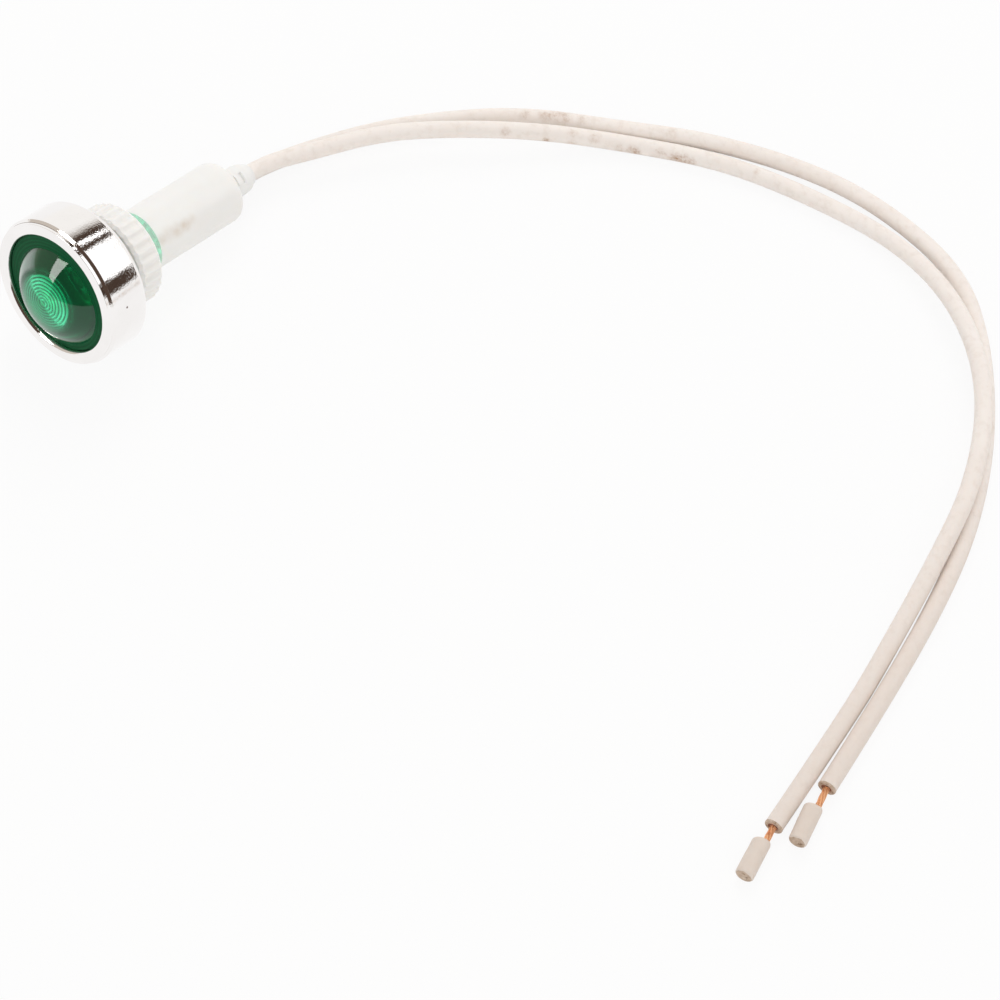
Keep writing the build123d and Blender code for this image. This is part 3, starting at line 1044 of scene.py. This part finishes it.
@dataclass
class Nut:
    """Fluted nut: scooped finger flutes that fade towards both rims."""

    radius: float = 6.0
    front: float = 2.1
    thick: float = 3.2
    bore: float = 3.84
    flutes: int = 30
    flute_depth: float = 0.24
    chamfer: float = 0.35
    pitch: float = 0.7
    groove: float = 0.12
    scoop: float = 0.72

    def outline(self) -> Array:
        """Outline of the ring, with dense rows on its bore and its outer side.

        Returns:
            Array of points, one row for each, of radius and place.
        """
        rear = self.front + self.thick
        bore = np.stack([np.full(60, self.bore), np.linspace(rear - 0.12, self.front + 0.12, 60)],
                        axis=1)
        side = np.stack([np.full(40, self.radius),
                         np.linspace(self.front + self.chamfer, rear - self.chamfer, 40)], axis=1)
        front = corner_arcs([
            (self.bore, self.front + 0.1, 0.0), (self.bore + 0.1, self.front, 0.04),
            (self.radius - self.chamfer, self.front, 0.12),
            (self.radius, self.front + self.chamfer, 0.0)], 4)
        back = corner_arcs([
            (self.radius, rear - self.chamfer, 0.0), (self.radius - self.chamfer, rear, 0.12),
            (self.bore + 0.1, rear, 0.04), (self.bore, rear - 0.1, 0.0)], 4)
        return np.concatenate([bore, front[:-1], side, back[1:]])

    def shaped(self, radius: Array, place: Array, angle: Array) -> Array:
        """Radius with the flutes and the inner thread.

        A flute is a cosine hollow over the scoop's part of its share of the turn. Its depth
        fades towards both rims; the thread is a groove that turns once for each pitch.

        Args:
            radius: each point's radius.
            place: its place along the axis.
            angle: its angle round the axis.

        Returns:
            The new radii.
        """
        rear = self.front + self.thick
        share = angle * self.flutes / (2 * math.pi)
        share = np.abs(share - np.round(share)) * 2
        hollow = np.where(share < self.scoop,
                          np.cos(share / self.scoop * math.pi / 2), 0.0) ** 0.8
        fade = np.clip((place - self.front + 0.1) / 0.9, 0, 1) ** 0.5
        fade = fade * np.clip((rear - place + 0.02) / 0.7, 0, 1) ** 0.7
        outside = np.clip((radius - (self.radius - 0.6)) / 0.3, 0, 1)
        turn = place / self.pitch - angle / (2 * math.pi)
        groove = 0.5 - 0.5 * np.cos(2 * math.pi * turn)
        inside = np.abs(radius - self.bore) < 1e-6
        ends = np.clip((place - self.front - 0.12) / 0.3, 0, 1) * np.clip(
            (rear - 0.12 - place) / 0.3, 0, 1)
        return (radius - self.flute_depth * hollow * fade * outside
                + np.where(inside, self.groove * groove * ends, 0.0))

    def make(self, nylon: Finish) -> None:
        """Turn the nut and dress it."""
        solid("fluted_nut", [turned(self.outline(), 360, self.shaped)], nylon, Rider.NUT,
              40.0, ["knurled_nut"])


@dataclass
class TailBody:
    """Slim tail with a plug, a rounded shoulder and an oval neck that holds the leads."""

    radius: float = 3.69
    wall: float = 0.9
    front: float = 7.4
    end: float = 21.1
    rounding: float = 0.9
    floor: float = 1.4
    plug: float = 2.75
    plug_bore: float = 2.25
    plug_length: float = 2.4
    neck: tuple[float, float] = (5.4, 3.6)
    neck_end: tuple[float, float] = (4.5, 2.6)
    straight: float = 2.3
    taper: float = 1.2
    hole: tuple[float, float] = (4.12, 2.02)
    slit_at: tuple[float, float] = (0.3, 1.4)
    slit_width: float = 0.3
    slit_depth: float = 0.28
    slit_half_length: float = 0.6
    side_rows: tuple[float, ...] = (12.0, 17.0)

    def rows(self) -> Array:
        """Rows of the skin: place, oval width, oval thickness and share of the oval.

        The oval's width and thickness are both the diameter where the row is a circle.

        Returns:
            Array of rows with those four values.
        """
        turn = np.linspace(0, math.pi / 2, 9)
        shoulder = self.end - self.rounding
        ring = 2 * (self.radius - self.rounding * (1 - np.cos(turn)))
        circle = np.stack([shoulder + self.rounding * np.sin(turn), ring, ring,
                           np.zeros(9)], axis=1)
        width, thickness = self.neck
        foot = [(self.end, width + 0.16, thickness + 0.16, 1.0),
                (self.end + 0.03, width + 0.06, thickness + 0.06, 1.0)]
        run = np.linspace(self.end + 0.1, self.end + self.straight, 34)
        neck = np.stack([run, np.full(34, width), np.full(34, thickness), np.ones(34)], axis=1)
        tip = self.end + self.straight + self.taper
        end_width, end_thickness = self.neck_end
        cone = [(tip - 0.08, end_width + 0.02, end_thickness + 0.02, 1.0),
                (tip - 0.02, end_width - 0.06, end_thickness - 0.06, 1.0),
                (tip, end_width - 0.14, end_thickness - 0.14, 1.0),
                (tip, self.hole[0] + 0.04, self.hole[1] + 0.04, 1.0),
                (tip - 0.06, *self.hole, 1.0), (self.end - self.floor, *self.hole, 1.0)]
        bore = 2 * (self.radius - self.wall)
        start = self.front - self.plug_length
        inner = [(self.end - self.floor, bore - 0.2, bore - 0.2, 0.0),
                 (self.end - self.floor - 0.1, bore, bore, 0.0),
                 (self.front + self.wall, bore, bore, 0.0),
                 (self.front + self.wall, 2 * self.plug_bore, 2 * self.plug_bore, 0.0),
                 (start, 2 * self.plug_bore, 2 * self.plug_bore, 0.0),
                 (start, 2 * self.plug - 0.16, 2 * self.plug - 0.16, 0.0),
                 (start + 0.08, 2 * self.plug, 2 * self.plug, 0.0),
                 (self.front, 2 * self.plug, 2 * self.plug, 0.0),
                 (self.front, 2 * self.radius - 0.1, 2 * self.radius - 0.1, 0.0),
                 (self.front + 0.05, 2 * self.radius, 2 * self.radius, 0.0),
                 *((place, 2 * self.radius, 2 * self.radius, 0.0) for place in self.side_rows)]
        return np.concatenate([circle, np.array(foot), neck, np.array(cone), np.array(inner)])

    def skin(self) -> Skin:
        """Skin of the whole body, one closed surface.

        A row is a circle, or the oval made by sliding a circle along the line of the leads:
        its middle is cos(angle) held to the ends, so the flat sides stay evenly divided.
        Slits press the neck inwards at its two narrow ends.

        Returns:
            The skin.
        """
        rows = self.rows()
        place, width, thickness, oval = (rows[:, [index]] for index in range(4))
        angle = np.linspace(0, 2 * math.pi, 144, endpoint=False)[None, :]
        radius = thickness / 2
        slide = (width - thickness) / 2 * oval * np.clip(np.cos(angle) * 3.5, -1, 1)
        along = radius * np.cos(angle) + slide
        across = radius * np.sin(angle)
        pressed = np.zeros_like(along)
        for start in self.slit_at:
            near = np.clip((self.slit_width / 2 + 0.03 - np.abs(place - self.end - start)) / 0.05,
                           0, 1)
            span = np.clip((self.slit_half_length + 0.05 - np.abs(across)) / 0.1, 0, 1)
            pressed += near * span * self.slit_depth * (width > 4.6) * oval * (
                np.abs(along) > width / 4)
        along = along - np.sign(along) * pressed
        turn = HEAD.lead_turn
        x = along * math.cos(turn) + across * math.sin(turn)
        y = -along * math.sin(turn) + across * math.cos(turn)
        grid = np.stack([x, y, np.broadcast_to(place, x.shape)], axis=-1)
        return Skin(HEAD.put(grid), rows_close=True)

    def make(self, nylon: Finish) -> None:
        """Make the body and dress it."""
        solid("tail_moulding", [self.skin()], nylon, Rider.LIGHT, 40.0,
              ["tail_body"])


@dataclass
class Lead:
    """One lead: its cord, the bare strands at its end and the slug left on them."""

    letter: str
    route: tuple[Point, ...]
    length: float
    diameter: float = 2.0
    strand: float = 0.24
    strand_count: int = 7
    lay: float = 7.0
    bare: float = 1.5
    slug: float = 4.7
    slug_shift: float = 0.35
    strands_turn: float = math.radians(6.0)

    def cord(self, jacket: Finish) -> bpy.types.Object:
        """Smooth curve along the route's points, as thick as the insulation.

        Args:
            jacket: finish of the insulation.

        Returns:
            The cord.
        """
        curve = bpy.data.curves.new(f"lead_{self.letter}_jacket", "CURVE")
        curve.dimensions = "3D"
        spline = curve.splines.new("NURBS")
        spline.points.add(len(self.route) - 1)
        places = np.ones((len(self.route), 4))
        places[:, :3] = np.array(self.route) * MM
        spline.points.foreach_set("co", places.ravel())
        spline.order_u = 3
        spline.use_endpoint_u = True
        curve.resolution_u = 12
        curve.bevel_depth = self.diameter / 2 * MM
        curve.bevel_resolution = 5
        curve.use_fill_caps = True
        piece = bpy.data.objects.new(curve.name, curve)
        bpy.context.scene.collection.objects.link(piece)
        dress(piece, jacket)
        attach(piece, Rider.LIGHT.value)
        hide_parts(f"lead_{self.letter}")
        return piece

    def end(self, turned: bool = True) -> tuple[Array, Array]:
        """Point where the insulation ends, and a direction there.

        Args:
            turned: whether it is the strands' direction, turned from the insulation's.

        Returns:
            The point, and a vector of length one.
        """
        last = np.array(self.route[-1])
        way = last - np.array(self.route[-2])
        way /= np.linalg.norm(way)
        if turned:
            cos, sin = math.cos(self.strands_turn), math.sin(self.strands_turn)
            way = np.array([way[0] * cos - way[1] * sin, way[0] * sin + way[1] * cos, 0.0])
        return last, way

    def run(self, start: float, stop: float, count: int) -> Array:
        """Straight line along the strands, from start to stop past the insulation."""
        last, way = self.end()
        return last + np.linspace(start, stop, count)[:, None] * way

    def strands(self, copper: Finish) -> bpy.types.Object:
        """Strands: one straight in the middle, the others on a helix round it.

        Args:
            copper: finish of the strands.

        Returns:
            All the strands, as one piece.
        """
        _, way = self.end()
        side = np.cross(way, [0.0, 0.0, 1.0])
        over = np.cross(side, way)
        tip = self.bare + self.slug - 0.3
        reach = np.linspace(-0.5, tip, 49)[:, None]
        skins = [piped(self.run(-0.5, tip, 49), self.strand / 2, 10)]
        for index in range(self.strand_count - 1):
            turn = 2 * math.pi * (reach / self.lay + index / (self.strand_count - 1))
            line = self.run(-0.5, tip, 49) + self.strand * (
                np.cos(turn) * side + np.sin(turn) * over)
            skins.append(piped(line, self.strand / 2, 10))
        return solid(f"copper_{self.letter}", skins, copper, Rider.LIGHT, 50.0,
                     replaces=[f"strands_{self.letter}"])

    def tube(self, section: Array, rough: float, seed: float, shift: float = 0.0,
             turned: bool = True) -> Skin:
        """Turn a closed section of a wall round the lead's end, unevenly cut.

        The cut ends sink and rise by a few sines of the angle, and the outside bulges by slow
        sines. A shift moves the outside to one side, in proportion to its distance from the
        bore.

        Args:
            section: radius and reach past the insulation's end, one row for each point.
            rough: height of the unevenness.
            seed: phase of the sines.
            shift: how far the outside moves to the side.
            turned: whether it lies along the strands, not along the insulation.

        Returns:
            The skin.
        """
        last, way = self.end(turned)
        side = np.cross(way, [0.0, 0.0, 1.0])
        over = np.cross(side, way)
        angle = np.linspace(0, 2 * math.pi, 56, endpoint=False)[None, :]
        size, reach = section[:, :1], section[:, 1:]
        bore, radius = size.min(), size.max()
        start, stop = reach.min(), reach.max()
        wave = (np.sin(2 * angle + seed) + 0.6 * np.sin(3 * angle + 2.1 * seed)
                + 0.4 * np.sin(7 * angle + 3.3 * seed))
        near = np.minimum(reach - start, stop - reach)
        inward = np.where(reach - start < stop - reach, 1.0, -1.0)
        at_end = np.clip(1 - near / min(0.5, (stop - start) / 2), 0, 1)
        reach = reach + inward * at_end * rough * (0.5 + 0.25 * wave)
        slow = np.sin(2 * angle + reach + seed) * np.clip((size - bore) / (radius - bore), 0, 1)
        size = np.minimum(size + 0.25 * rough * slow, radius)
        moved = shift * np.clip((size - bore) / (radius - bore), 0, 1)
        grid = (last + reach[..., None] * way
                + (size * np.cos(angle) + moved)[..., None] * side
                + (size * np.sin(angle))[..., None] * over)
        return Skin(grid, rows_close=True)

    def slug_section(self) -> Array:
        """Wall of the slug: well rounded at the lead, squarer at its outer end, with a pit.

        Returns:
            Array of points, one row for each, of radius and place.
        """
        start, stop = self.bare, self.bare + self.slug
        corners = corner_arcs([
            (0.42, start + 0.1, 0.05), (1.0, start, 0.5), (1.0, stop, 0.28),
            (0.45, stop, 0.1), (0.42, stop - 0.9, 0.0)], 8)
        cut = int(np.argmax(corners[:, 1] - corners[:, 0] * 0.001 > start + 0.5 - 1e-6))
        side = np.stack([np.full(12, 1.0), np.linspace(start + 0.7, stop - 0.5, 12)], axis=1)
        return np.concatenate([corners[:cut + 1], side, corners[cut + 1:]])

    def make(self, jacket: Finish, slug_painted_shade: Finish, cut: Finish, dark: Finish,
             copper: Finish) -> None:
        """Args:
            jacket: finish of the insulation.
            slug_painted_shade: finish of the slug.
            cut: finish of the cut ends.
            dark: finish of the hollow round the strands, a dark brown painted shade.
            copper: finish of the strands.
        """
        cord = self.cord(jacket)
        seed = 1.3 if self.letter == "a" else 4.1
        stop = self.bare + self.slug
        strands = self.strands(copper)
        slug = solid(f"insulation_slug_{self.letter}",
                     [self.tube(self.slug_section(), 0.08, seed, self.slug_shift)],
                     slug_painted_shade, Rider.LIGHT, 50.0, [f"slug_{self.letter}"])
        lip = corner_arcs([(0.45, -0.1, 0.0), (1.004, -0.1, 0.0), (1.004, 0.16, 0.14),
                           (0.6, 0.14, 0.1), (0.45, -0.05, 0.0)], 5)
        collar = solid(f"cut_end_{self.letter}", [self.tube(lip, 0.03, seed + 2, 0.0, False)],
                       cut, Rider.LIGHT, 50.0)
        # Painted shade: a dark brown tube fills the insulation's mouth round the strands.
        painted_shade_mouth = solid(f"hollow_painted_shade_{self.letter}",
                      [piped(self.run(-0.25, 0.07, 6), 0.6, 24)],
                      dark, Rider.LIGHT, 50.0)
        ring = corner_arcs([(0.0005, stop - 0.2, 0.0), (0.9, stop - 0.2, 0.0),
                            (0.9, stop + 0.015, 0.2), (0.0005, stop + 0.015, 0.0)], 6)
        face = solid(f"slug_face_{self.letter}",
                     [self.tube(ring, 0.02, seed + 4, self.slug_shift)],
                     cut, Rider.LIGHT, 50.0)
        log.info("lead %s: %.1f mm of cord", self.letter, self.length)


LEAD_A = Lead("a", (
    (0.615691, 15.8824, 3.40431), (0.615691, 18.7983, 2.69915),
    (3.5, 23.2, 2.95), (8.0, 30.7, 3.1), (14.0, 36.7, 3.0), (21.5, 43.2, 2.4), (29.2, 49.0, 1.0),
    (39.5, 54.2, 1.0), (50.5, 56.7, 1.0), (62.5, 57.7, 1.2), (73.5, 53.7, 2.9), (82.5, 46.2, 3.3),
    (88.5, 35.7, 3.1), (91.2, 24.9, 2.2), (93.6, 12.8, 1.1), (95.1, 4.8, 1.0), (97.1, -10.5, 1.0),
), 162.1, bare=1.8)
LEAD_B = Lead("b", (
    (-0.615691, 15.4826, 1.75088), (-0.615691, 18.3985, 1.04572),
    (1.5, 23.7, 1.0), (5.5, 31.2, 1.0), (10.5, 37.7, 1.0), (17.5, 44.7, 1.0), (28.0, 50.7, 1.0),
    (36.5, 55.7, 1.0), (48.0, 59.7, 1.0), (58.0, 60.7, 1.0), (70.0, 58.7, 1.0), (78.5, 51.7, 1.0),
    (86.0, 41.7, 1.0), (91.0, 31.7, 1.0), (94.0, 21.7, 1.0), (96.5, 9.2, 1.0), (98.5, -3.5, 1.0),
), 161.8, bare=2.4)


@dataclass
class Wiring:
    """Lamp, resistor, splices and sleeves inside the light, kept as the CAD made them."""

    nodes: dict[str, bpy.types.Object] = field(default_factory=dict)

    def make(self, finishes: dict[str, tuple[Finish, Slot]]) -> None:
        """Dress each kept node.

        Args:
            finishes: finish and material slot for each node, by the node's name.
        """
        for name, (finish, slot) in finishes.items():
            dress(self.nodes[name], finish)
            log.info("%s keeps its solid, in %s", name, finish.name)


@dataclass
class Studio:
    """Camera, table, lamps and the room that the chrome reflects."""

    lens: float = 115.2
    camera_at: Point = (0.17461, -0.14376, 0.28636)
    camera_turn: Point = (90 - 56.18, 0.0, 40.458)
    pane: tuple[Point, ...] = (
        (-0.470, -0.794, 0.386), (-0.301, -0.878, 0.372), (-0.185, -0.463, 0.867),
        (-0.523, -0.424, 0.739))
    gap_turns: tuple[Point, ...] = ((83, 109, 1.5), (10, 31, 2.5))
    lamp_turns: Point = (93, 97, 1.0)
    window_turns: Point = (31, 83, 2.0)
    room_light: float = 0.75
    key_power: float = 0.42

    def camera(self) -> None:
        """Camera at the photograph's angle."""
        data = bpy.data.cameras.new("photo_camera")
        data.lens = self.lens
        data.sensor_width = 36.0
        data.clip_start = 0.01
        data.clip_end = 50.0
        camera = bpy.data.objects.new("photo_camera", data)
        camera.location = self.camera_at
        camera.rotation_euler = Euler([math.radians(angle) for angle in self.camera_turn])
        bpy.context.scene.collection.objects.link(camera)
        bpy.context.scene.camera = camera

    def table(self) -> None:
        """Pale table: white to the eye and in reflections, matt to the light."""
        mesh = bpy.data.meshes.new("table")
        edge = 3.0
        mesh.from_pydata([(-edge, -edge, 0), (edge, -edge, 0), (edge, edge, 0), (-edge, edge, 0)],
                         [], [(0, 1, 2, 3)])
        table = bpy.data.objects.new("table", mesh)
        bpy.context.scene.collection.objects.link(table)
        material = bpy.data.materials.new("white_table")
        material.use_nodes = True
        paint = Paint(material.node_tree)
        rays = paint.node("ShaderNodeLightPath")
        seen = paint.maths("MAXIMUM", paint.out(rays, "Is Camera Ray"),
                           paint.out(rays, "Is Transmission Ray"))
        seen = paint.maths("MAXIMUM", 0.9 * seen, paint.out(rays, "Is Glossy Ray"))
        matt = paint.node("ShaderNodeBsdfDiffuse", {}, {"Color": srgb(244, 243, 242)})
        glow = paint.node("ShaderNodeEmission", {}, {"Color": srgb(254, 254, 254)})
        mixed = paint.node("ShaderNodeMixShader", {}, {
            0: seen, 1: paint.out(matt), 2: paint.out(glow)})
        output = paint.node("ShaderNodeOutputMaterial")
        paint.tree.links.new(mixed.outputs[0], output.inputs["Surface"])
        mesh.materials.append(material)

    def room(self) -> None:
        """Room round the table, which only the glossy finishes see.

        The walls are white. The window, the lamp and the dark gaps are bands of the angle
        round the head's axis, and that angle wavers by a noise. The room is dusky above the
        table in front of the head, paler at its left. The pane is a bright four-sided window
        there: each side is a plane through the middle of the room and two of its corners.
        """
        world = bpy.data.worlds.new("studio_room")
        bpy.context.scene.world = world
        world.use_nodes = True
        paint = Paint(world.node_tree)
        way = paint.out(paint.node("ShaderNodeTexCoord"), "Generated")
        _, run, rise = HEAD.axis
        up = paint.dot(way, (0.0, -rise, run))
        side = paint.dot(way, (1.0, 0.0, 0.0))
        turn = paint.maths("ARCTAN2", up, side) * (180 / math.pi)
        wave = 2.0 * paint.noise(way, 0.15, 4.0, 0.6) - 1.0
        turn = turn + 2.5 * wave
        rear = paint.dot(way, HEAD.axis)
        beside = rear.within(0.2, 0.66, 0.03)
        gap = sum((turn.within(*band) for band in self.gap_turns), 0.0) * beside
        lamp = turn.within(*self.lamp_turns) * beside
        window = turn.within(*self.window_turns) * beside
        wall = paint.mix(turn.above(107, 124), srgb(164, 156, 148), srgb(255, 254, 252))
        wall = paint.mix(beside * turn.above(60, 62), srgb(255, 254, 252), wall)
        wall = paint.mix(window, wall, srgb(255, 255, 255))
        gloom = paint.noise(way, 0.02, 3.0, 0.6).above(0.35, 0.65)
        colour = paint.mix(gap, wall, paint.mix(gloom, srgb(46, 35, 30), srgb(92, 76, 66)))
        height = paint.dot(way, (0.0, 0.0, 1.0))
        dusk = height.above(0.03, 0.08) * (1 - rear.above(0.1, 0.2))
        left = 1 - side.above(-0.6, -0.2)
        colour = paint.mix(dusk, colour, paint.mix(left, srgb(82, 66, 57), srgb(206, 197, 187)))
        colour = paint.mix(lamp, colour, srgb(255, 255, 255))
        pane = 1.0
        for first, second in zip(self.pane, self.pane[1:] + self.pane[:1]):
            edge = np.cross(first, second)
            pane = paint.dot(way, edge / np.linalg.norm(edge)).above(-0.01, 0.01) * pane
        colour = paint.mix(pane, colour, srgb(255, 255, 250))
        strength = 1.0 + 1.5 * lamp + 0.25 * window + 8.0 * pane
        rays = paint.node("ShaderNodeLightPath")
        reflected = paint.node("ShaderNodeBackground", {},
                               {"Color": colour, "Strength": strength})
        plain = paint.node("ShaderNodeBackground", {}, {
            "Color": srgb(255, 254, 253), "Strength": self.room_light})
        white = paint.node("ShaderNodeBackground", {}, {"Color": srgb(254, 254, 254)})
        lit = paint.node("ShaderNodeMixShader", {}, {
            0: paint.out(rays, "Is Glossy Ray"), 1: paint.out(plain), 2: paint.out(reflected)})
        seen = paint.maths("MAXIMUM", paint.out(rays, "Is Camera Ray"),
                           paint.out(rays, "Is Transmission Ray"))
        final = paint.node("ShaderNodeMixShader", {}, {
            0: seen, 1: paint.out(lit), 2: paint.out(white)})
        output = paint.node("ShaderNodeOutputWorld")
        paint.tree.links.new(final.outputs[0], output.inputs["Surface"])

    def lamp(self, name: str, place: Point, aim: Point, size: float, power: float) -> None:
        """Soft square lamp, unseen in reflections.

        Args:
            name: its name.
            place: where it hangs, in metres.
            aim: point it is turned to.
            size: length of its side.
            power: its power in watts.
        """
        data = bpy.data.lights.new(name, "AREA")
        data.energy = power
        data.size = size
        lamp = bpy.data.objects.new(name, data)
        way = np.array(aim) - np.array(place)
        flat = math.hypot(way[0], way[1])
        lamp.location = place
        lamp.rotation_euler = Euler((math.atan2(flat, -way[2]), 0.0,
                                     math.atan2(way[1], way[0]) - math.pi / 2))
        lamp.visible_glossy = False
        bpy.context.scene.collection.objects.link(lamp)

    def make(self) -> None:
        """Set up the whole studio."""
        self.camera()
        self.table()
        self.room()
        self.lamp("key_lamp", (-0.25, 0.45, 0.55), (0.03, 0.02, 0.0), 0.45, self.key_power * 4)
        self.lamp("fill_lamp", (0.5, -0.3, 0.45), (0.03, 0.02, 0.0), 0.6, self.key_power * 2)
        bpy.context.scene.view_settings.view_transform = "Standard"


class PilotLight:
    """The whole light, built piece by piece."""

    def __init__(self, nodes: dict[str, bpy.types.Object]) -> None:
        """Keep the CAD nodes and mix the finishes."""
        self.nodes = nodes
        self.nylon = Nylon()
        self.jacket = Jacket()
        self.wire = TinnedWire()

    def make(self) -> None:
        """Build the leads first, then the head from front to back, then its inside."""
        # The slugs' finish is the jacket's colours painted darker, as shade.
        slug_painted_shade, cut, core, copper = SlugPaintedShade(), CutJacket(), HollowPaintedShade(), Copper()
        for lead in (LEAD_A, LEAD_B):
            lead.make(self.jacket, slug_painted_shade, cut, core, copper)
        Bezel().make(Chrome())
        Lens().make(GreenPlastic())
        Nut().make(self.nylon)
        TailBody().make(self.nylon)
        brass, sleeve = Brass(), Sleeving()
        inside: dict[str, tuple[Finish, Slot]] = {
            "lamp": (Glass(), Slot.GLASS),
            "resistor": (ResistorCoat(), Slot.COAT),
            "resistor_wire": (self.wire, Slot.WIRE),
        }
        for letter in "ab":
            inside[f"lamp_wire_{letter}"] = (self.wire, Slot.WIRE)
            inside[f"crimp_{letter}"] = (brass, Slot.BRASS)
            inside[f"sleeve_{letter}"] = (sleeve, Slot.SLEEVE)
            inside[f"lead_root_{letter}"] = (self.jacket, Slot.JACKET)
        Wiring(self.nodes).make(inside)


def main() -> None:
    """Load the frame, set up the studio and build the light."""
    logging.basicConfig(level=logging.INFO, format="%(name)s: %(message)s")
    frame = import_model()
    Studio().make()
    PilotLight(frame["nodes"]).make()
    bpy.context.view_layer.update()


if __name__ == "__main__":
    main()
